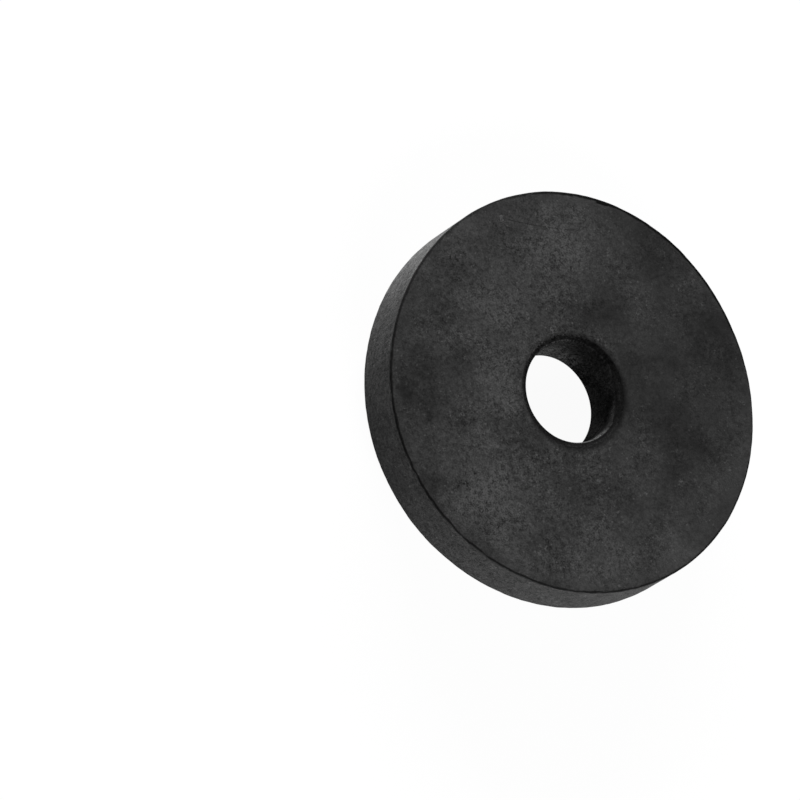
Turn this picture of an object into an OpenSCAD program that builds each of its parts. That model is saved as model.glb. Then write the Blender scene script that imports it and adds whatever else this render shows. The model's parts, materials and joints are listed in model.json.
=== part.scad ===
/* [Washer] */
// Diameter of the washer across its wide face
outer_d = 50.8; // [40:0.1:80]
// Diameter of the bore
bore_d = 12.7; // [6:0.1:20]
// Thickness from face to face
thickness = 7.94; // [4:0.01:12]

/* [Cut edges] */
// Slope of the cut rim in degrees, which leaves the lower face narrower than the upper one
rim_slope = 3; // [0:0.1:6]
// Radius of the lips that roll over from the faces into the bore
lip_r = 0.8; // [0.2:0.05:1.5]
// Radius of the eased corners between the faces and the rim
edge_r = 0.3; // [0.1:0.05:1]

/* [Hidden] */
$fn = 96;

rubber_black = "#353536";

bore_r = bore_d / 2;
upper_r = outer_d / 2;
rim_height = thickness - 2 * edge_r;
lower_r = upper_r - rim_height * tan(rim_slope);

// What lies outside an arc of radius r at the square corner p, where the rubber lies towards the given signs
module corner_waste(p, towards, r) {
    centre = p + r * towards;
    past = p - r * towards;
    difference() {
        polygon([centre, [centre.x, past.y], past, [past.x, centre.y]]);
        translate(centre) circle(r = r);
    }
}

// Half section of the rubber, as radius and height: bore wall, two flat faces and the sloped rim
module section() {
    bore_low = [bore_r, 0];
    rim_low = [lower_r, 0];
    rim_high = [upper_r, thickness];
    bore_high = [bore_r, thickness];
    difference() {
        polygon([
            bore_low,
            rim_low,
            rim_low + [0, edge_r],
            rim_high - [0, edge_r],
            rim_high,
            bore_high,
        ]);
        corner_waste(bore_low, [1, 1], lip_r);
        corner_waste(bore_high, [1, -1], lip_r);
        corner_waste(rim_low, [-1, 1], edge_r);
        corner_waste(rim_high, [-1, -1], edge_r);
    }
}

// The whole washer: one ring of black rubber, which lies on its narrower face
module washer() {
    color(rubber_black)
        rotate_extrude() section();
}

washer();
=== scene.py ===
# %% [markdown]
# # A flat rubber washer
#
# The object is a thick ring of black rubber, cut from sheet: two flat faces with a faint grey bloom, a rim
# and a bore that a blade has passed through, and dark, slightly rolled edges between them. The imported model
# gives its true size. This lesson revolves the same section again with the small unevenness that real rubber
# has, and then finishes it.

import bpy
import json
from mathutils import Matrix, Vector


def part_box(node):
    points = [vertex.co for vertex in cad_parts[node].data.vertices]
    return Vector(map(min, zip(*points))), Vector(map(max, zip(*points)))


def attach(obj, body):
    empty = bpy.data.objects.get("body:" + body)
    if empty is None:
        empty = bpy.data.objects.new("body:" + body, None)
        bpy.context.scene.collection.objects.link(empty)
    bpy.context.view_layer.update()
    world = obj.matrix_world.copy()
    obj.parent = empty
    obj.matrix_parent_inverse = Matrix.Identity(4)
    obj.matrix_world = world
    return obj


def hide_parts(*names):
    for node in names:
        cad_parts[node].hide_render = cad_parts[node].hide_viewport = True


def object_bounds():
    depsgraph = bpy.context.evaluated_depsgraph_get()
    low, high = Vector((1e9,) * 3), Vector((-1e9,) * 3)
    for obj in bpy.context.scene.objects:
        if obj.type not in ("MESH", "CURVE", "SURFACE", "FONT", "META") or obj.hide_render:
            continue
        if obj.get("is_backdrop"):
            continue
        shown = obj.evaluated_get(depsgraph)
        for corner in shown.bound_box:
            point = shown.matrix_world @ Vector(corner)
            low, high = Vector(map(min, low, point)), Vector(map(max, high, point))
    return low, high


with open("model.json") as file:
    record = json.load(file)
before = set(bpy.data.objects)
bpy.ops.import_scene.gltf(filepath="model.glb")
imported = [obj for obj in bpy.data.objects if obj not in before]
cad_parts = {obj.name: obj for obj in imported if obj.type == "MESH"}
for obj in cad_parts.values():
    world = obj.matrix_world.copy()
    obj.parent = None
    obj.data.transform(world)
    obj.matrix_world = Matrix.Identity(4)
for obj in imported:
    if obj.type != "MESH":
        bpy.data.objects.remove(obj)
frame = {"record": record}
cad_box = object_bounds()

# %% [markdown]
# ## Sizes
#
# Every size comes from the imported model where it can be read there: the box gives the outside and the
# thickness, and the bore's mount gives its radius and the length of its straight wall, which leaves the lips.
# Two sizes of the cut rim can't be read from a box, so they are written here as the part's source has them.

# %% Read the sizes
import json
import math

import bpy
from mathutils import Matrix, Vector

MM = 0.001
box_low, box_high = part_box("washer")
bore_dims = next(mount["dims"] for mount in frame["record"]["mounts"] if mount["name"] == "bore")

outer_radius = (box_high.x - box_low.x) / 2
thickness = box_high.z - box_low.z
bore_radius = bore_dims["r_mm"] * MM
lip_radius = (thickness - bore_dims["length_mm"] * MM) / 2
edge_radius = 0.3 * MM
rim_slope = math.radians(3)
lower_radius = outer_radius - (thickness - 2 * edge_radius) * math.tan(rim_slope)
for name, length in (("outside", 2 * outer_radius), ("bore", 2 * bore_radius), ("thickness", thickness)):
    print(f"{name} {length / MM:.2f} mm")

# %% [markdown]
# ## The camera
#
# In the photograph the washer's face leans to the right of the line of sight and a little upwards. Here the
# washer lies flat, so the camera is turned instead: the two leans give the washer's axis as the camera sees
# it, and the picture's upward direction, laid into the face, gives the washer's +Y. These three directions
# are the rows of the matrix that turns the camera. Its place follows from where the middle of the face falls
# in the picture.

# %% Aim the camera
PHOTO_PX = 800
FACE_CENTRE_PX = (574.7, 391.9)
OUTER_RADIUS_PX = 206.9
DISTANCE_IN_RADII = 24
LEAN_RIGHT = math.radians(27.7)
LEAN_UP = math.radians(13.4)

distance = DISTANCE_IN_RADII * outer_radius
metres_per_px = outer_radius / OUTER_RADIUS_PX
face_in_camera = Vector((
    (FACE_CENTRE_PX[0] - PHOTO_PX / 2) * metres_per_px,
    (PHOTO_PX / 2 - FACE_CENTRE_PX[1]) * metres_per_px,
    -distance,
))
axis_in_camera = Vector((
    math.sin(LEAN_RIGHT) * math.cos(LEAN_UP),
    math.sin(LEAN_UP),
    math.cos(LEAN_RIGHT) * math.cos(LEAN_UP),
))
picture_up = Vector((0, 1, 0))
y_in_camera = (picture_up - picture_up.dot(axis_in_camera) * axis_in_camera).normalized()
x_in_camera = y_in_camera.cross(axis_in_camera)
turn = Matrix((x_in_camera, y_in_camera, axis_in_camera))
face_centre = Vector((0, 0, thickness))

camera = bpy.data.objects.new("camera", bpy.data.cameras.new("camera"))
camera.data.lens = OUTER_RADIUS_PX * DISTANCE_IN_RADII * camera.data.sensor_width / PHOTO_PX
camera.matrix_world = Matrix.Translation(face_centre - turn @ face_in_camera) @ turn.to_4x4()
bpy.context.scene.collection.objects.link(camera)
bpy.context.scene.camera = camera
bpy.context.scene.view_settings.view_transform = "Standard"
print(f"lens {camera.data.lens:.0f} mm, {distance:.2f} m away")

# %% [markdown]
# ## Wires and nodes
#
# Materials and shapes below are node trees, and most of their nodes are arithmetic. A small class lets that
# arithmetic be written as a formula: adding or multiplying two wires puts the Math node in place and joins
# it up.

# %% A wire that can be reckoned with
class Wire:
    """A value that runs through a node tree. Arithmetic on it adds Math nodes to the tree."""

    def __init__(self, tree, socket):
        self.tree = tree
        self.socket = socket

    def math(self, operation, *others):
        inputs = dict(enumerate((self, *others)))
        return add(self.tree, "ShaderNodeMath", inputs, operation=operation)

    def vector(self, operation, *others, out=0):
        inputs = dict(enumerate((self, *others)))
        return add(self.tree, "ShaderNodeVectorMath", inputs, out=out, operation=operation)

    def __add__(self, other):
        return self.math("ADD", other)

    def __sub__(self, other):
        return self.math("SUBTRACT", other)

    def __mul__(self, other):
        return self.math("MULTIPLY", other)

    def __truediv__(self, other):
        return self.math("DIVIDE", other)

    def between(self, at_none, at_full):
        """Goes straight from one value or wire to another while this wire goes from 0 to 1."""
        return self * (at_full - at_none) + at_none

    def ramp(self, start, end, low=0.0, high=1.0):
        """Runs smoothly from low to high while this wire goes from start to end."""
        inputs = {"Value": self, "From Min": start, "From Max": end, "To Min": low, "To Max": high}
        return add(self.tree, "ShaderNodeMapRange", inputs, interpolation_type="SMOOTHSTEP")


def join(tree, value, socket):
    """Links a wire into a socket, or sets a plain value on it."""
    if isinstance(value, Wire):
        tree.links.new(value.socket, socket)
    else:
        socket.default_value = value


def add(tree, kind, inputs=None, out=0, **settings):
    """Adds a node with its settings and its inputs, by name or number, and returns one output's wire."""
    node = tree.nodes.new(kind)
    node.location.x = 200 * len(tree.nodes)
    for name, setting in settings.items():
        setattr(node, name, setting)
    for name, value in (inputs or {}).items():
        join(tree, value, node.inputs[name])
    return Wire(tree, node.outputs[out])


print("wires are ready")

# %% [markdown]
# ## Noise
#
# Nothing on rubber is quite even, so every finish and the shape itself draw on Blender's noise. Four helpers
# give it the forms they need: soft noise, the same with more contrast, a place that wanders, and the three
# parts of a place.

# %% Noise that reads a place
MOTTLE_SPREAD = 0.18


def noise(place, size, detail=2.0, roughness=0.5):
    """Soft noise about zero, mostly within 0.2 either way, with features of about the given size."""
    inputs = {"Vector": place, "Scale": 1 / size, "Detail": detail, "Roughness": roughness}
    return add(place.tree, "ShaderNodeTexNoise", inputs) - 0.5


def mottle(place, size, roughness=0.5):
    """The same noise with more contrast, from -1 to 1."""
    return noise(place, size, roughness=roughness).ramp(-MOTTLE_SPREAD, MOTTLE_SPREAD, -1.0, 1.0)


def warp(place, size, way):
    """A place that wanders by up to about the given way, so that no border drawn on it is straight."""
    inputs = {"Vector": place, "Scale": 1 / size, "Detail": 3.0}
    drift = add(place.tree, "ShaderNodeTexNoise", inputs, out="Color")
    return drift.vector("SUBTRACT", (0.5,) * 3).vector("MULTIPLY", (way,) * 3).vector("ADD", place)


def split(vector):
    """The X, Y and Z wires of a vector."""
    node = add(vector.tree, "ShaderNodeSeparateXYZ", {0: vector}).socket.node
    return [Wire(vector.tree, output) for output in node.outputs]


print("noise is ready")

# %% [markdown]
# ## Light
#
# The light in the photograph is a large soft source high above the washer. Because the face leans back so
# little from upright, that light only grazes it, while the rim's upper side faces it and shines. On the
# flat-lying washer the same light comes in low over the +Y side. A second, weaker one stands opposite and
# higher, for the light that a white ground throws back, and reaches down the far wall of the bore. Each
# softbox is given by the level it brings to a surface that faces it, where 1 shows a colour as it is
# written, and the lamp's watts follow from that.

# %% Hang the softboxes
TARGET = Vector((0, 0, thickness / 2))


def softbox(name, azimuth, elevation, away, width, height, level):
    """A rectangular area lamp in the given direction from the washer, aimed at it."""
    azimuth = math.radians(azimuth)
    elevation = math.radians(elevation)
    direction = Vector((
        math.cos(azimuth) * math.cos(elevation),
        math.sin(azimuth) * math.cos(elevation),
        math.sin(elevation),
    ))
    lamp = bpy.data.lights.new(name, "AREA")
    lamp.shape = "RECTANGLE"
    lamp.size = width
    lamp.size_y = height
    lamp.energy = level * math.pi ** 2 * away ** 2
    holder = bpy.data.objects.new(name, lamp)
    holder.location = TARGET + direction * away
    holder.rotation_euler = direction.to_track_quat("Z", "Y").to_euler()
    holder.visible_camera = False
    bpy.context.scene.collection.objects.link(holder)
    print(f"{name}: {lamp.energy:.2f} W")


softbox("high_softbox", azimuth=84, elevation=12, away=0.6, width=0.5, height=0.16, level=3.7)
softbox("ground_bounce", azimuth=280, elevation=30, away=0.5, width=0.3, height=0.2, level=1.18)

# %% [markdown]
# ## Floor and background
#
# The washer lies on a plain white ground in a white room. What the camera sees of them is mostly their own
# white, so that they stay white without more light on the rubber. A share of ordinary matt paint in the
# ground's mix still takes the washer's shadow, and the room gives the rubber only a little light.

# %% Lay the white ground
WHITE = (1, 1, 1, 1)
GROUND_HALF_WIDTH = 4.0
GROUND_DROP = 0.02 * MM
GROUND_WHITE = 0.9
GROUND_BOUNCE = 0.55
SELF_LIT_SHARE = 0.95


def seen_directly(tree):
    """1 where the ray comes from the camera, a reflection or glass, and 0 where it only gathers light."""
    path = tree.nodes.new("ShaderNodeLightPath")
    camera_ray, glossy_ray, through_ray = (
        Wire(tree, path.outputs[name])
        for name in ("Is Camera Ray", "Is Glossy Ray", "Is Transmission Ray")
    )
    return camera_ray.math("MAXIMUM", glossy_ray).math("MAXIMUM", through_ray)


ground_paint = bpy.data.materials.new("white_ground")
ground_paint.use_nodes = True
ground_tree = ground_paint.node_tree
ground_tree.nodes.clear()
seen = seen_directly(ground_tree)
matt = add(ground_tree, "ShaderNodeBsdfDiffuse", {"Color": seen.ramp(0, 1, GROUND_BOUNCE, GROUND_WHITE)})
own_white = add(ground_tree, "ShaderNodeEmission", {"Color": WHITE, "Strength": 1.0})
ground_mix = add(ground_tree, "ShaderNodeMixShader", {0: seen * SELF_LIT_SHARE, 1: matt, 2: own_white})
join(ground_tree, ground_mix, ground_tree.nodes.new("ShaderNodeOutputMaterial").inputs["Surface"])

ground_corners = [
    (x * GROUND_HALF_WIDTH, y * GROUND_HALF_WIDTH, -GROUND_DROP)
    for x, y in ((-1, -1), (1, -1), (1, 1), (-1, 1))
]
ground_mesh = bpy.data.meshes.new("white_ground")
ground_mesh.from_pydata(ground_corners, [], [(0, 1, 2, 3)])
ground_mesh.materials.append(ground_paint)
ground = bpy.data.objects.new("white_ground", ground_mesh)
bpy.context.scene.collection.objects.link(ground)
ground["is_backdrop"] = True
print(f"ground {2 * GROUND_HALF_WIDTH:.0f} m wide")

# %% Whiten the room
AMBIENT_LEVEL = 0.13

world = bpy.data.worlds.new("white_room")
bpy.context.scene.world = world
world.use_nodes = True
background = world.node_tree.nodes["Background"]
background.inputs["Color"].default_value = WHITE
room_level = seen_directly(world.node_tree).ramp(0, 1, AMBIENT_LEVEL, 1.0)
join(world.node_tree, room_level, background.inputs["Strength"])
print("ground and room are white to the camera, and the room gives light at", AMBIENT_LEVEL)

# %% [markdown]
# ## Groups
#
# The face and the cut surfaces are the same rubber, so they share effects. A shader node group makes such an
# effect once, with named inputs, and each material then places it with its own values. Three helpers open a
# group, close it and place it.

# %% Open, close and place a group
FLOAT = "NodeSocketFloat"
VECTOR = "NodeSocketVector"


def shader_group(name, inputs, outputs):
    """An empty shader group with float or vector sockets, and its input wires by name."""
    group = bpy.data.node_groups.new(name, "ShaderNodeTree")
    for socket_name, kind in inputs.items():
        group.interface.new_socket(socket_name, in_out="INPUT", socket_type=kind)
    for socket_name, kind in outputs.items():
        group.interface.new_socket(socket_name, in_out="OUTPUT", socket_type=kind)
    entry = group.nodes.new("NodeGroupInput")
    return group, {socket_name: Wire(group, entry.outputs[socket_name]) for socket_name in inputs}


def close_group(group, **wires):
    """Joins the finished wires to the group's outputs."""
    leave = group.nodes.new("NodeGroupOutput")
    for socket_name, wire in wires.items():
        join(group, wire, leave.inputs[socket_name])
    print(f"group {group.name}: {len(group.nodes)} nodes")


def use_group(tree, group, inputs):
    """Places a group in a material with its own values, and returns its output wires by name."""
    node = add(tree, "ShaderNodeGroup", inputs, node_tree=group).socket.node
    return {output.name: Wire(tree, output) for output in node.outputs}


print("groups can be made")

# %% [markdown]
# ## The grain
#
# Close to, the rubber is leathery: fine specks over soft blobs, creases between the blobs, and a few light
# flecks of filler. Specks and blobs are noise. Flecks and creases come from Voronoi cells, whose middles and
# borders they follow, and the place wanders a little so that no cell shows a straight side. All of it is one
# group, and its fineness says how much smaller the features are along each axis.

# %% Make the grain
# Sizes of the features in millimetres, and how many cells there are to a millimetre
SPECK_SIZE = 0.24
BLOB_SIZE = 0.65
WANDER_SIZE = 1.1
WANDER_WAY = 0.5
CREASE_CELLS = 1.7
SMALL_FLECK_CELLS = 2.1
LARGE_FLECK_CELLS = 0.95

SPECK_SHARE = 0.65
BLOB_SHARE = 0.4

grain_group, grain_in = shader_group(
    "rubber_grain",
    inputs={"Place": VECTOR, "Fineness": VECTOR},
    outputs={"Grain": FLOAT, "Flecks": FLOAT, "Creases": FLOAT},
)
fine_place = grain_in["Place"].vector("MULTIPLY", grain_in["Fineness"])
loose_place = warp(fine_place, WANDER_SIZE, WANDER_WAY)
specks = mottle(fine_place, SPECK_SIZE, roughness=0.8)
blobs = mottle(loose_place, BLOB_SIZE)


def dots(cells_per_mm, from_luck, to_luck):
    """Light dots in the middles of cells, of those cells whose luck is high enough."""
    inputs = {"Vector": loose_place, "Scale": cells_per_mm}
    cells = add(grain_group, "ShaderNodeTexVoronoi", inputs).socket.node
    cell_colour = Wire(grain_group, cells.outputs["Color"])
    luck = add(grain_group, "ShaderNodeSeparateColor", {"Color": cell_colour})
    from_middle = Wire(grain_group, cells.outputs["Distance"])
    return from_middle.ramp(0.1, 0.36, 1.0, 0.0) * luck.ramp(from_luck, to_luck)


small_flecks = dots(SMALL_FLECK_CELLS, from_luck=0.4, to_luck=0.85)
large_flecks = dots(LARGE_FLECK_CELLS, from_luck=0.68, to_luck=0.95)
flecks = (small_flecks + large_flecks) * specks.ramp(-0.7, 0.5)
to_border = add(
    grain_group,
    "ShaderNodeTexVoronoi",
    {"Vector": loose_place, "Scale": CREASE_CELLS},
    out="Distance",
    feature="DISTANCE_TO_EDGE",
)
creases = to_border.ramp(0.0, 0.1, 1.0, 0.0) * blobs.ramp(-0.8, 0.4, 1.0, 0.0)
grain = specks * SPECK_SHARE + blobs * BLOB_SHARE
close_group(grain_group, Grain=grain, Flecks=flecks, Creases=creases)

# %% [markdown]
# ## The black edges
#
# Along an edge the cut rolled the rubber over, so a thin line there carries no bloom and stays black. How far
# a point lies from an edge comes with the mesh, as a way in millimetres that is below 0 on the face and
# above 0 on the wall. The second group turns that way into a line with its own reach on either side, and
# noise makes the line wander and its border ragged.

# %% Make the black edge
LINE_WANDER_SIZE = 1.5
LINE_BORDER_SIZE = 1.4
THINNEST_SHARE = 0.2

edge_group, edge_in = shader_group(
    "black_edge",
    inputs={
        "Way": FLOAT,
        "Face Reach": FLOAT,
        "Wall Reach": FLOAT,
        "Core": FLOAT,
        "Raggedness": FLOAT,
        "Wander": FLOAT,
        "Place": VECTOR,
    },
    outputs={"Edge": FLOAT},
)
line_way = edge_in["Way"] + noise(edge_in["Place"], LINE_WANDER_SIZE) * edge_in["Wander"]
over_face = line_way * -1.0 / edge_in["Face Reach"]
over_wall = line_way / edge_in["Wall Reach"]
border = noise(edge_in["Place"], LINE_BORDER_SIZE, detail=3.0, roughness=0.6)
border = (border * edge_in["Raggedness"] + 1.0).math("MAXIMUM", THINNEST_SHARE)
reached = over_face.math("MAXIMUM", over_wall) / border
close_group(edge_group, Edge=reached.ramp(edge_in["Core"], 1.0, 1.0, 0.0))

# %% [markdown]
# ## A rubber finish
#
# Each finish is the same sort of material: a mix of two greys, rougher where it is lighter, raised a little
# by its grain and black along its edges. A class keeps what they have in common. It reads the place on the
# piece in millimetres, so that a number in a finish is a length on the real washer, and it sets the gloss on
# the shader itself because that is the same all over.

# %% Write the class for a finish
MM_PER_M = 1000.0
FRESH_BLACK = (0.002, 0.002, 0.002, 1)
EDGE_WALL_REACH = 0.13
LIP_BLACKNESS = 0.82


class Finish:
    """A rubber material in the making. Ways are in millimetres, and directions in degrees round the axis."""

    def __init__(self, name, gloss):
        self.material = bpy.data.materials.new(name)
        self.material.use_nodes = True
        self.tree = self.material.node_tree
        self.shader = self.tree.nodes["Principled BSDF"]
        self.shader.inputs["Specular IOR Level"].default_value = gloss
        self.place = add(self.tree, "ShaderNodeTexCoord", out="Object").vector("SCALE")
        self.place.socket.node.inputs["Scale"].default_value = MM_PER_M
        self.right, self.forward, self.up = split(self.place)
        self.edge_way = self.attribute("edge_way")
        self.lip_way = self.attribute("lip_way")

    def attribute(self, name):
        return add(self.tree, "ShaderNodeAttribute", out="Fac", attribute_name=name)

    def towards(self, degrees):
        """How far the place lies from the washer's axis in the direction of an angle round it."""
        angle = math.radians(degrees)
        return self.right * math.cos(angle) + self.forward * math.sin(angle)

    def grain(self, *fineness):
        return use_group(self.tree, grain_group, {"Place": self.place, "Fineness": fineness})

    def edge_black(self):
        """The line along the outer edge, broader and firmer at the far corner, and wandering opposite it."""
        far_corner = self.towards(55).ramp(14.0, 24.0)
        edge = use_group(self.tree, edge_group, {
            "Way": self.edge_way,
            "Face Reach": far_corner * 0.3 + self.towards(150).ramp(5.0, 24.0, 0.24, 0.32),
            "Wall Reach": EDGE_WALL_REACH,
            "Core": far_corner.between(0.3, 0.55),
            "Raggedness": far_corner.between(2.2, 0.9),
            "Wander": self.towards(225).ramp(4.0, 20.0, 0.0, 0.45),
            "Place": self.place,
        })
        return edge["Edge"] * far_corner.between(0.8, 1.0)

    def lip_black(self):
        """The broader, softer ring round the bore, which runs down the wall on one side."""
        reach = self.towards(150).ramp(-6.5, 6.5, 1.6, 0.85)
        reach = reach + self.towards(95).ramp(5.5, 7.2, 0.0, 0.2)
        reach = reach + self.towards(228).ramp(5.2, 7.0, 0.0, 0.35)
        lip = use_group(self.tree, edge_group, {
            "Way": self.lip_way,
            "Face Reach": reach,
            "Wall Reach": self.towards(-5).ramp(5.2, 6.1, 0.1, 1.2),
            "Core": 0.27,
            "Raggedness": 0.6,
            "Wander": 0.0,
            "Place": self.place,
        })
        return lip["Edge"] * LIP_BLACKNESS

    def kept(self):
        """1 where the rubber keeps its grey, and 0 on the black lines along the edges."""
        return self.edge_black().math("MAXIMUM", self.lip_black()).between(1.0, 0.0)

    def paint(self, share, light, smoothest, roughest):
        """Colours the rubber from fresh black to light by a share, and roughens it where it is lighter."""
        inputs = {"Factor": share, "A": FRESH_BLACK, "B": light}
        colour = add(self.tree, "ShaderNodeMix", inputs, out="Result", data_type="RGBA")
        join(self.tree, colour, self.shader.inputs["Base Color"])
        join(self.tree, share.ramp(0.0, 1.0, smoothest, roughest), self.shader.inputs["Roughness"])

    def bump(self, height, strength, depth_mm):
        """Raises the surface by a height wire."""
        inputs = {"Strength": strength, "Distance": depth_mm * MM, "Height": height}
        join(self.tree, add(self.tree, "ShaderNodeBump", inputs), self.shader.inputs["Normal"])
        print(f"{self.material.name}: {len(self.tree.nodes)} nodes")


def speckle(parts, grain, flecks, creases):
    """The parts of the grain laid together, each at its own strength."""
    return parts["Grain"] * grain + parts["Flecks"] * flecks - parts["Creases"] * creases


print("finishes can be made")

# %% [markdown]
# ## Marks on the face
#
# Handling leaves its marks on the bloom: broad patches with more or less of it, a long thin scratch, a dark
# nick at the edge and some scuffs. One patch with less bloom, by the lower left edge, is painted shade where
# the face rolls down. They belong to the upper face only, and each is one row of a table.
# A patch fades out round its middle, and a stroke fades out at its sides and ends.

# %% List the marks
# Middle of each patch and its reach, in millimetres, and how much bloom it adds
BLOOM_AND_SHADE_PATCHES = (
    ((-8.5, 11.5), 9.0, 0.22),
    ((1.0, 18.5), 9.0, 0.25),
    ((-10.5, 0.5), 6.0, 0.22),
    ((-13.5, -11.5), 10.0, 0.28),
    ((-14.0, 8.0), 4.0, 0.12),
    ((19.0, -11.0), 4.0, 0.12),
    ((0.0, -21.0), 9.0, 0.2),
    ((-21.0, 1.0), 7.0, -0.2),
    ((4.5, 10.5), 7.0, -0.16),
    ((15.0, -7.0), 9.0, -0.18),
    ((15.0, 19.0), 9.0, -0.2),
    ((20.5, 6.0), 11.0, -0.22),
    ((10.0, 0.0), 8.0, -0.18),
    ((-8.5, -7.0), 4.0, -0.1),
    # Painted shade: less bloom by the lower left edge, where the face rolls down towards it.
    ((-21.0, -12.5), 4.0, -0.24),
    ((-11.5, -19.5), 4.5, 0.24),
    ((-12.0, 21.0), 3.5, 0.26),
    ((9.0, 5.0), 4.0, -0.1),
    ((12.0, -21.0), 5.0, 0.28),
)

# Middle of each stroke in millimetres, its turn in degrees, its length, width and bend, and the bloom it adds
STROKES = (
    ((-2.0, 21.05), -7.8, 14.0, 0.2, 0.0084, -0.26),
    ((7.2, 24.25), -15.0, 2.0, 0.8, 0.0, -1.0),
    ((8.0, 24.1), -18.5, 2.6, 0.5, 0.0, -0.8),
    ((12.0, 18.5), -45.0, 1.8, 0.4, 0.0, 0.14),
    ((10.7, 20.9), -40.0, 1.4, 0.36, 0.0, 0.12),
    ((11.5, 13.6), 23.0, 10.0, 1.8, 0.0, 0.05),
    ((14.0, 14.9), 18.0, 3.0, 0.4, -0.05, -0.1),
    ((-1.2, 23.0), 88.0, 2.6, 0.8, 0.0, 0.12),
    ((-8.4, -1.5), -52.0, 2.6, 0.36, 0.0, 0.18),
    ((-9.1, -1.9), -52.0, 2.4, 0.36, 0.0, 0.18),
    ((-9.8, -2.3), -52.0, 2.0, 0.36, 0.0, 0.15),
    ((-9.0, 3.2), 12.0, 3.4, 0.4, 0.02, 0.14),
    ((-8.6, 4.0), 12.0, 3.0, 0.4, 0.02, 0.14),
)


def patch(place, middle, reach, bloom):
    """Bloom in the middle of a patch, fading out to nothing at its reach."""
    away = place.vector("MULTIPLY", (1, 1, 0)).vector("DISTANCE", (*middle, 0), out="Value")
    return away.ramp(0.0, reach, bloom, 0.0)


def stroke(place, middle, turn, length, width, bend, bloom):
    """Bloom along a line drawn on the face, fading out at its sides and ends."""
    inputs = {"Vector": place, "Center": (*middle, 0), "Angle": -math.radians(turn)}
    turned = add(place.tree, "ShaderNodeVectorRotate", inputs, rotation_type="Z_AXIS")
    along, off, _ = split(turned.vector("SUBTRACT", (*middle, 0)))
    off = (off - along * along * bend).math("ABSOLUTE")
    ends = along.math("ABSOLUTE").ramp(length * 0.25, length * 0.5, 1.0, 0.0)
    return off.ramp(width * 0.15, width * 0.5, 1.0, 0.0) * ends * bloom


print(len(BLOOM_AND_SHADE_PATCHES), "patches and", len(STROKES), "strokes")

# %% [markdown]
# ## The face's finish
#
# Sheet rubber is black right through, but its surface goes cloudy grey as wax and powder come out of it. The
# finish is a mix of two colours, fresh black and bloomed grey. Drifting clouds and the marks say how much
# bloom there is, the grain breaks it all up, and the edges have none. Clouds and grain are calmer on one
# side of the face, as they are on the real one.

# %% Finish the face
BLOOMED_GREY = (0.0575, 0.0575, 0.0575, 1)
PATCH_DRIFT_SIZE = 3.3
PATCH_DRIFT_WAY = 7.0
CLOUD_SIZE = 3.0
CALM_SIZE = 5.0

face = Finish("bloomed_face", gloss=0.015)
drifting_place = warp(face.place, PATCH_DRIFT_SIZE, PATCH_DRIFT_WAY)
first_mark, *other_marks = [patch(drifting_place, *row) for row in BLOOM_AND_SHADE_PATCHES]
other_marks += [stroke(face.place, *row) for row in STROKES]
marks = sum(other_marks, first_mark)
on_top = face.up.ramp(2.0, 6.0)
liveliness = face.towards(50).ramp(-15.0, 20.0, 0.64, 0.38)
clouds = noise(face.place, CLOUD_SIZE, detail=3.0, roughness=0.6) * liveliness + 0.46
calm = mottle(face.place, CALM_SIZE) * 0.3 + face.right.ramp(-6.0, 16.0, 1.0, 0.7)
calm = calm * face.edge_way.ramp(-3.0, -0.5, 1.0, 0.6)
face_grain = face.grain(1.0, 1.0, 1.0)
texture = speckle(face_grain, grain=0.54, flecks=1.25, creases=0.2) * calm + 0.93
bloom = (clouds + marks * on_top) * texture * face.kept()
face.paint(bloom, BLOOMED_GREY, smoothest=0.7, roughest=0.9)
face.bump(face_grain["Grain"], strength=0.4, depth_mm=0.02)

# %% [markdown]
# ## The rim's finish
#
# The rim was cut, so it shows the inside of the rubber: no clouds, a grain where the blade tore it, and tiny
# light specks of filler. The side towards the high softbox is painted lighter, as painted light and sheen,
# with a painted highlight just inside its edges. Its light grey is lighter than any of the rim's own tones,
# so that the lighter side still has specks in it.

# %% Finish the rim
CUT_GREY = (0.17, 0.17, 0.17, 1)
TEAR_SIZE = 2.0

rim = Finish("cut_rim", gloss=0.04)
# Painted highlight: a lighter band on the rim just inside its upper and lower edges.
edge_highlight = rim.edge_way.ramp(0.15, 0.35) * rim.edge_way.ramp(0.4, 1.2, 1.0, 0.0)
# Painted light and sheen: the side of the rim towards the high softbox is painted lighter, most of all in
# that band.
painted_light_side = rim.towards(118).ramp(20.0, 25.0)
rim_painted_light = painted_light_side * edge_highlight.between(0.68, 1.03) + 1.0
rim_grain = rim.grain(1.2, 1.2, 1.0)
texture = speckle(rim_grain, grain=0.7, flecks=1.4, creases=0.2) + 1.0
torn = noise(rim.place, TEAR_SIZE, detail=3.0, roughness=0.6) * 0.2 + 0.224
rim.paint(torn * rim_painted_light * texture * rim.kept(), CUT_GREY, smoothest=0.7, roughest=0.95)
rim.bump(rim_grain["Grain"], strength=0.5, depth_mm=0.03)

# %% [markdown]
# ## The bore's finish
#
# The bore's wall is cut too, but it has been wiped nearly black. Dust is left on it in streaks that change
# with depth, and the streaks also hold painted light and shade: lighter low down, where the lamps hardly
# reach, and darker around the places that the lamps light. Its two sides are painted lighter, as painted
# sheen. Each row of the table says where such a streak lies and how it changes the wall there: a share above
# 1 lightens the wall and a share below 1 darkens it. The rounded lip belongs to this finish as well, and the
# near side of it is the blackest.

# %% Finish the bore
WIPED_GREY = (0.22, 0.22, 0.22, 1)

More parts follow.
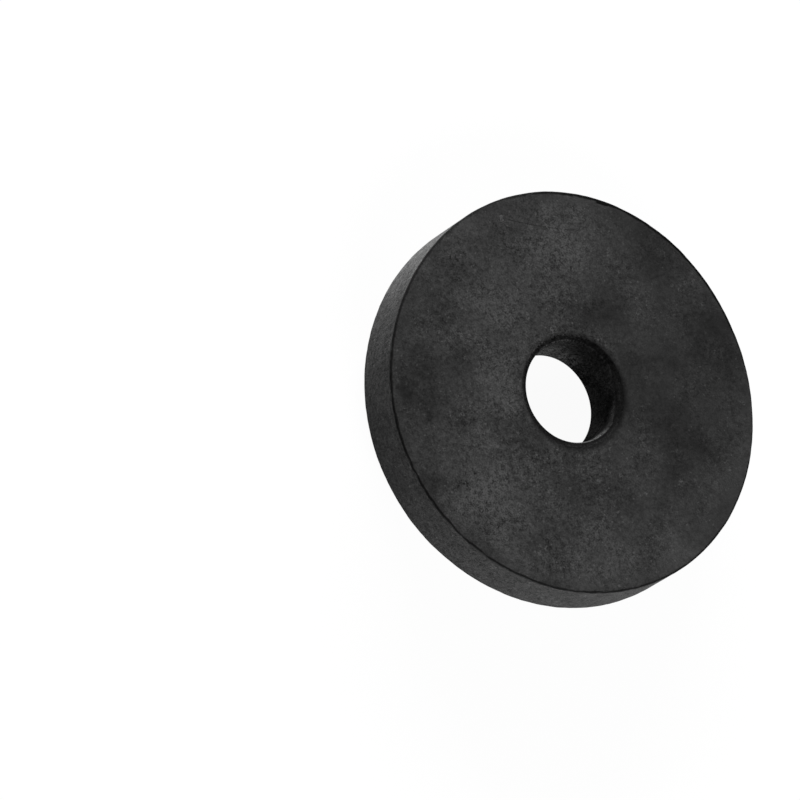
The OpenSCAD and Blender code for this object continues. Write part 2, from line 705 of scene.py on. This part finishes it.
# Direction of each streak in degrees, the ways from the axis at which it starts and is full, the two heights
# between which it changes, in millimetres, and the share of dust and painted light at the lower and at the
# upper of them
LIGHT_AND_DUST_STREAKS = (
    (-5, (4.0, 6.0), (0.5, 6.0), (10.0, 2.5)),
    (6, (6.1, 6.33), (4.0, 5.5), (1.0, 2.5)),
    (90, (1.5, 4.5), (1.0, 6.8), (1.5, 0.33)),
    (52, (5.7, 6.3), (1.5, 4.5), (3.6, 1.0)),
    (38, (6.0, 6.33), (2.5, 5.0), (0.4, 1.0)),
    (-38, (5.85, 6.3), (3.8, 5.5), (1.9, 0.09)),
    (-62, (5.6, 6.3), (4.0, 6.2), (0.22, 0.85)),
)

bore = Finish("cut_bore", gloss=0.004)
far_side = bore.forward.ramp(1.5, 4.5)
near_side = bore.towards(268).ramp(2.5, 5.0)
# Painted sheen: the wall's two sides towards 110 degrees and opposite it are painted lighter.
painted_sheen_sides = bore.towards(110).math("ABSOLUTE").ramp(4.5, 6.3)

# Dust mixed with painted light and shade: the wall is painted lighter near its lower end, and the streaks
# lighten or darken it in bands that change with depth.
wall_light_and_dust = bore.up.ramp(0.4, 2.0, 1.4, 1.0)
for degrees, ways, heights, shares in LIGHT_AND_DUST_STREAKS:
    streak = bore.towards(degrees).ramp(*ways)
    wall_light_and_dust = wall_light_and_dust * streak.between(1.0, bore.up.ramp(*heights, *shares))
lip_dust = far_side.between(1.4, 1.0)
bore_light_and_dust = bore.lip_way.ramp(-0.4, 0.5).between(lip_dust, wall_light_and_dust)
lip_ring = bore.lip_way.ramp(-0.5, -0.2) * bore.lip_way.ramp(-0.05, 0.2, 1.0, 0.0)
bore_light_and_dust = bore_light_and_dust * near_side.between(1.0, lip_ring.between(1.0, 0.35))

bore_grain = bore.grain(1.6, 1.6, 1.0)
texture = speckle(
    bore_grain, grain=far_side.between(0.65, 1.05), flecks=2.6, creases=far_side.between(0.3, 0.7)
) + 0.88
# The wall's grey, with painted sheen added on those two sides.
torn = noise(bore.place, TEAR_SIZE, detail=3.0, roughness=0.6) * 0.068 + 0.065 + painted_sheen_sides * 0.13
# The dust in this colour also holds painted light and shade.
bore.paint(torn * bore_light_and_dust * texture * bore.kept(), WIPED_GREY, smoothest=0.75, roughest=0.85)
bore.bump(bore_grain["Grain"], strength=0.5, depth_mm=0.03)

# %% [markdown]
# ## The washer's shape
#
# A washer is a section carried round an axis, so its shape follows a rule and Geometry Nodes can make it: a
# quadrilateral is the section, Fillet Curve rolls its corners, and Curve to Mesh carries it round a circle.
# Each point keeps its own radius, height and angle, so the unevenness of hand-cut rubber can be added to
# those three before the point is set in place. The sizes are inputs of the tree, so that they can be changed
# without opening it.

# %% Open the tree and name its inputs
SIZES = {
    "Outer Radius": outer_radius,
    "Lower Radius": lower_radius,
    "Bore Radius": bore_radius,
    "Thickness": thickness,
    "Lip Radius": lip_radius,
    "Edge Radius": edge_radius,
    "Spacing": 0.7 * MM,
    "Lobe Depth": 0.15 * MM,
    "Outline Shift": 0.12 * MM,
    "Outline Swell": 0.1 * MM,
    "Bore Lean": 0.2 * MM,
    "Bore Oval": 0.11 * MM,
    "Lower Flare": 1.2 * MM,
    "Nick Depth": 0.06 * MM,
    "Rim Unevenness": 0.1 * MM,
    "Edge Raggedness": 0.1 * MM,
    "Face Unevenness": 0.2 * MM,
}
COUNTS = {"Around": 800}
FINISHES = {"Face Finish": face.material, "Rim Finish": rim.material, "Bore Finish": bore.material}

shape = bpy.data.node_groups.new("revolved_washer", "GeometryNodeTree")
shape.interface.new_socket("Geometry", in_out="INPUT", socket_type="NodeSocketGeometry")
identifiers = {}
for names, kind in ((SIZES, FLOAT), (COUNTS, "NodeSocketInt"), (FINISHES, "NodeSocketMaterial")):
    for name in names:
        identifiers[name] = shape.interface.new_socket(name, in_out="INPUT", socket_type=kind).identifier
shape.interface.new_socket("Geometry", in_out="OUTPUT", socket_type="NodeSocketGeometry")
shape_entry = shape.nodes.new("NodeGroupInput")
size = {name: Wire(shape, shape_entry.outputs[name]) for name in identifiers}
print(f"tree {shape.name}: {len(size)} inputs")

# %% [markdown]
# ## The section
#
# Cut through on one side, the washer is four straight lines: the bore's wall, the two faces and the sloping
# rim. Its corners at the bore roll over further than those at the rim, so the fillet's radius depends on
# which half of the section a corner is in. The straight stretches are then cut up, because a stretch without
# points between its ends couldn't become uneven.

# %% Draw the section and cut it up
FILLET_POINTS = 9


def point(x, y, z=0.0):
    """A vector wire from three values."""
    return add(shape, "ShaderNodeCombineXYZ", {"X": x, "Y": y, "Z": z})


section_corners = {
    "Point 1": point(size["Bore Radius"], 0.0),
    "Point 2": point(size["Lower Radius"], 0.0),
    "Point 3": point(size["Outer Radius"], size["Thickness"]),
    "Point 4": point(size["Bore Radius"], size["Thickness"]),
}
section = add(shape, "GeometryNodeCurvePrimitiveQuadrilateral", section_corners, mode="POINTS")
where = add(shape, "GeometryNodeInputPosition")
x_here, y_here, _ = split(where)
middle_radius = (size["Bore Radius"] + size["Lower Radius"]) * 0.5
at_rim = x_here.math("GREATER_THAN", middle_radius)
corner_radius = at_rim.between(size["Lip Radius"], size["Edge Radius"])
fillet = {"Curve": section, "Count": FILLET_POINTS, "Radius": corner_radius}
section = add(shape, "GeometryNodeFilletCurve", fillet, mode="POLY")

one_further = {"Point Index": add(shape, "GeometryNodeInputIndex"), "Offset": 1}
next_point = add(shape, "GeometryNodeOffsetPointInCurve", one_further, out="Point Index")
next_place = add(
    shape,
    "GeometryNodeFieldAtIndex",
    {"Value": where, "Index": next_point},
    data_type="FLOAT_VECTOR",
    domain="POINT",
)
stretch = where.vector("DISTANCE", next_place, out="Value")
cuts = (stretch / size["Spacing"]).math("FLOOR")
section = add(shape, "GeometryNodeSubdivideCurve", {"Curve": section, "Cuts": cuts})
print(f"section: {len(shape.nodes)} nodes")

# %% [markdown]
# ## The turn round the axis
#
# Curve to Mesh carries the section round a circle. Afterwards a point of the ring no longer knows where it
# came from, so each point of the section keeps its radius and height beforehand, and each point of the
# circle its angle.

# %% Carry the section round
def capture(geometry, **values):
    """Keeps values on the points of a geometry, and returns it with the kept wires."""
    node = shape.nodes.new("GeometryNodeCaptureAttribute")
    for name in values:
        node.capture_items.new("FLOAT", name)
    join(shape, geometry, node.inputs["Geometry"])
    for name, value in values.items():
        join(shape, value, node.inputs[name])
    return Wire(shape, node.outputs["Geometry"]), [Wire(shape, node.outputs[name]) for name in values]


section, (radius, height) = capture(section, Radius=x_here, Height=y_here)
circle_inputs = {"Resolution": size["Around"], "Radius": middle_radius}
circle = add(shape, "GeometryNodeCurvePrimitiveCircle", circle_inputs, mode="RADIUS")
circle, (angle,) = capture(circle, Angle=y_here.math("ARCTAN2", x_here))
ring = add(shape, "GeometryNodeCurveToMesh", {"Curve": circle, "Profile Curve": section})
print(f"section and circle: {len(shape.nodes)} nodes")

# %% [markdown]
# ## Ways from the edges
#
# Both the finishes and the unevenness ask how far a point lies from the nearest edge. Measured along the
# section, that way can be reckoned from the point's distances to the wall and to the face: straight on the
# flat parts, and by the angle on the rounded corner between them.

# %% Measure each point against the edges
def way_from_corner(to_wall, to_face, corner):
    """Way along the section from a rounded corner's middle: below 0 on the face, above 0 on the wall."""
    inside_wall = (to_wall - corner).math("MAXIMUM", 0.0)
    inside_face = (to_face - corner).math("MAXIMUM", 0.0)
    past_wall = (corner - to_wall).math("MAXIMUM", 0.0)
    past_face = (corner - to_face).math("MAXIMUM", 0.0)
    turned = past_wall.math("ARCTAN2", past_face) - math.pi / 4
    return turned * corner - inside_wall + inside_face


depth = size["Thickness"] - height
up = height / size["Thickness"]
to_face = height.math("MINIMUM", depth)
rim_radius = up.between(size["Lower Radius"], size["Outer Radius"])
edge_way = way_from_corner(rim_radius - radius, to_face, size["Edge Radius"])
lip_way = way_from_corner(radius - size["Bore Radius"], to_face, size["Lip Radius"])
edge_gap = edge_way.math("ABSOLUTE")
print(f"ways from the edges: {len(shape.nodes)} nodes")

# %% [markdown]
# ## The outline and the bore
#
# The cut left the outline slightly three-lobed, a little off the middle and swollen on one side. Lower down
# it flares out on one side instead, where the blade ran out of square. The bore leans and its lower end is
# oval. Each of these is a change of radius that depends on the angle, and each fades out across the washer
# towards the side where it doesn't belong.

# %% Bend the outline and the bore
LOBES = 3
LOBE_TURN = math.radians(82)
SHIFT_TURN = math.radians(43)
SWELL_TURN = math.radians(-32)
SWELL_REACH = math.radians(60)
FLARE_TURN = math.radians(318)
FLARE_REACH = math.radians(88)
LEAN_TURN = math.radians(130)
LEAN_AT_BOTTOM = -0.4
OVAL_TURN = math.radians(110)


def bulge(turn, reach):
    """1 at an angle round the washer, falling smoothly to 0 at the reach on both sides of it."""
    return (angle - turn).math("WRAP", math.pi, -math.pi).math("ABSOLUTE").ramp(0.0, reach, 1.0, 0.0)


across = (radius - size["Bore Radius"]) / (size["Outer Radius"] - size["Bore Radius"])
at_top = ((angle - LOBE_TURN) * LOBES).math("COSINE") * size["Lobe Depth"]
at_top = at_top + (angle - SHIFT_TURN).math("COSINE") * size["Outline Shift"]
at_top = at_top + bulge(SWELL_TURN, SWELL_REACH) * size["Outline Swell"]
at_bottom = bulge(FLARE_TURN, FLARE_REACH) * size["Lower Flare"]
outline = up.between(at_bottom, at_top) * across

lean = (angle - LEAN_TURN).math("COSINE") * size["Bore Lean"] * up.between(LEAN_AT_BOTTOM, 1.0)
oval = ((angle - OVAL_TURN) * 2.0).math("COSINE") * size["Bore Oval"] * up.between(1.0, 0.0)
bore_bend = (lean + oval) * across.between(1.0, 0.0)
print(f"outline and bore: {len(shape.nodes)} nodes")

# %% [markdown]
# ## Small unevenness
#
# On top of that, the edges are ragged by a tenth of a millimetre, the rim and the faces aren't quite flat,
# and the upper edge has one shallow nick. Noise that reads the point's true place moves it in or out, or up
# or down, and fades out away from the edge or the face that it is meant for.

# %% Move each point
TEAR_LENGTH = 1.1 * MM
TEAR_FADE = 0.5 * MM
SWELL_LENGTH = 3.5 * MM
SWELL_FADE = 3 * MM
SINK_LENGTH = 5.0 * MM
SINK_FADE = 0.5 * MM
SINK_MIDDLE = 0.3
NICK_TURN = math.radians(73.7)
NICK_REACH = math.radians(2.6)
NICK_FULL = 0.2 * MM
NICK_FADE = 0.9 * MM

cosine = angle.math("COSINE")
sine = angle.math("SINE")
true_place = point(radius * cosine, radius * sine, height)
in_upper_half = height.math("GREATER_THAN", depth)

tear = noise(true_place, TEAR_LENGTH, detail=2.0) * size["Edge Raggedness"]
tear = tear * edge_gap.ramp(0.0, TEAR_FADE, 1.0, 0.0)
swell = noise(true_place, SWELL_LENGTH, detail=1.0) * size["Rim Unevenness"]
swell = swell * edge_gap.ramp(0.0, SWELL_FADE, 1.0, 0.3)
sink = (noise(true_place, SINK_LENGTH, detail=2.0) - SINK_MIDDLE) * size["Face Unevenness"]
sink = sink * in_upper_half.between(-1.0, 1.0) * to_face.ramp(0.0, SINK_FADE, 1.0, 0.0)
nick = bulge(NICK_TURN, NICK_REACH) * edge_gap.ramp(NICK_FULL, NICK_FADE, 1.0, 0.0)
nick = nick * in_upper_half * size["Nick Depth"]

new_radius = radius + outline + bore_bend + tear + swell
new_place = point(new_radius * cosine, new_radius * sine, height + sink - nick)
moved = add(shape, "GeometryNodeSetPosition", {"Geometry": ring, "Position": new_place})
print(f"unevenness: {len(shape.nodes)} nodes")

# %% [markdown]
# ## Three finishes on one ring
#
# The ways from the edges stay on the mesh as attributes, in millimetres, where the materials read them. They
# also say which finish a face gets. The rounded lip belongs to the bore's finish and the rounded outer edge
# to the face's, so that no border between two finishes shows on a flat part.

# %% Store the ways and set the finishes
for name, way in (("edge_way", edge_way), ("lip_way", lip_way)):
    stored = {"Geometry": moved, "Name": name, "Value": way * MM_PER_M}
    moved = add(shape, "GeometryNodeStoreNamedAttribute", stored, data_type="FLOAT", domain="POINT")
smooth = add(shape, "GeometryNodeSetShadeSmooth", {"Geometry": moved})
plain = add(shape, "GeometryNodeRealizeInstances", {"Geometry": smooth})

in_bore = lip_way.math("GREATER_THAN", size["Lip Radius"] * -math.pi / 4)
on_rim = edge_way.math("GREATER_THAN", size["Edge Radius"] * math.pi / 4)
finished = add(shape, "GeometryNodeSetMaterial", {"Geometry": plain, "Material": size["Face Finish"]})
for selection, finish in ((in_bore, "Bore Finish"), (on_rim, "Rim Finish")):
    finishing = {"Geometry": finished, "Selection": selection, "Material": size[finish]}
    finished = add(shape, "GeometryNodeSetMaterial", finishing)
join(shape, finished, shape.nodes.new("NodeGroupOutput").inputs["Geometry"])
print(f"tree {shape.name}: {len(shape.nodes)} nodes")

# %% [markdown]
# ## A plain mesh
#
# The modifier is evaluated once and its result kept as a plain mesh, so that nothing has to be worked out
# again when the washer is moved or exported. The section runs the way round that makes Curve to Mesh point
# its faces inwards, so they are turned over. The volume, taken from the faces' own directions, is positive
# only if they then point outwards.

# %% Evaluate the tree
import bmesh

carrier = bpy.data.objects.new("carrier", bpy.data.meshes.new("carrier"))
bpy.context.scene.collection.objects.link(carrier)
modifier = carrier.modifiers.new("revolve", "NODES")
modifier.node_group = shape
for name, value in {**SIZES, **COUNTS, **FINISHES}.items():
    modifier[identifiers[name]] = value
bpy.context.view_layer.update()
evaluated = carrier.evaluated_get(bpy.context.evaluated_depsgraph_get())
mesh = bpy.data.meshes.new_from_object(evaluated)
bpy.data.objects.remove(carrier)

body = bmesh.new()
body.from_mesh(mesh)
bmesh.ops.reverse_faces(body, faces=body.faces)
open_edges = sum(not edge.is_manifold for edge in body.edges)
volume = body.calc_volume(signed=True)
body.to_mesh(mesh)
body.free()
mesh.name = "rubber_washer"
washer = bpy.data.objects.new("rubber_washer", mesh)
bpy.context.scene.collection.objects.link(washer)
print(f"{len(mesh.polygons)} faces, {open_edges} open edges, {volume / MM ** 3:.0f} cubic mm")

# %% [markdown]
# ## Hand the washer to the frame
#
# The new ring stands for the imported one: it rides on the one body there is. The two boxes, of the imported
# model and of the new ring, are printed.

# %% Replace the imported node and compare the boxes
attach(washer, "root")
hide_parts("washer")

boxes = {"cad": cad_box, "visual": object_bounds()}
for name, (lowest, highest) in boxes.items():
    print(name, [f"{(high - low) / MM:.2f} mm" for low, high in zip(lowest, highest)])
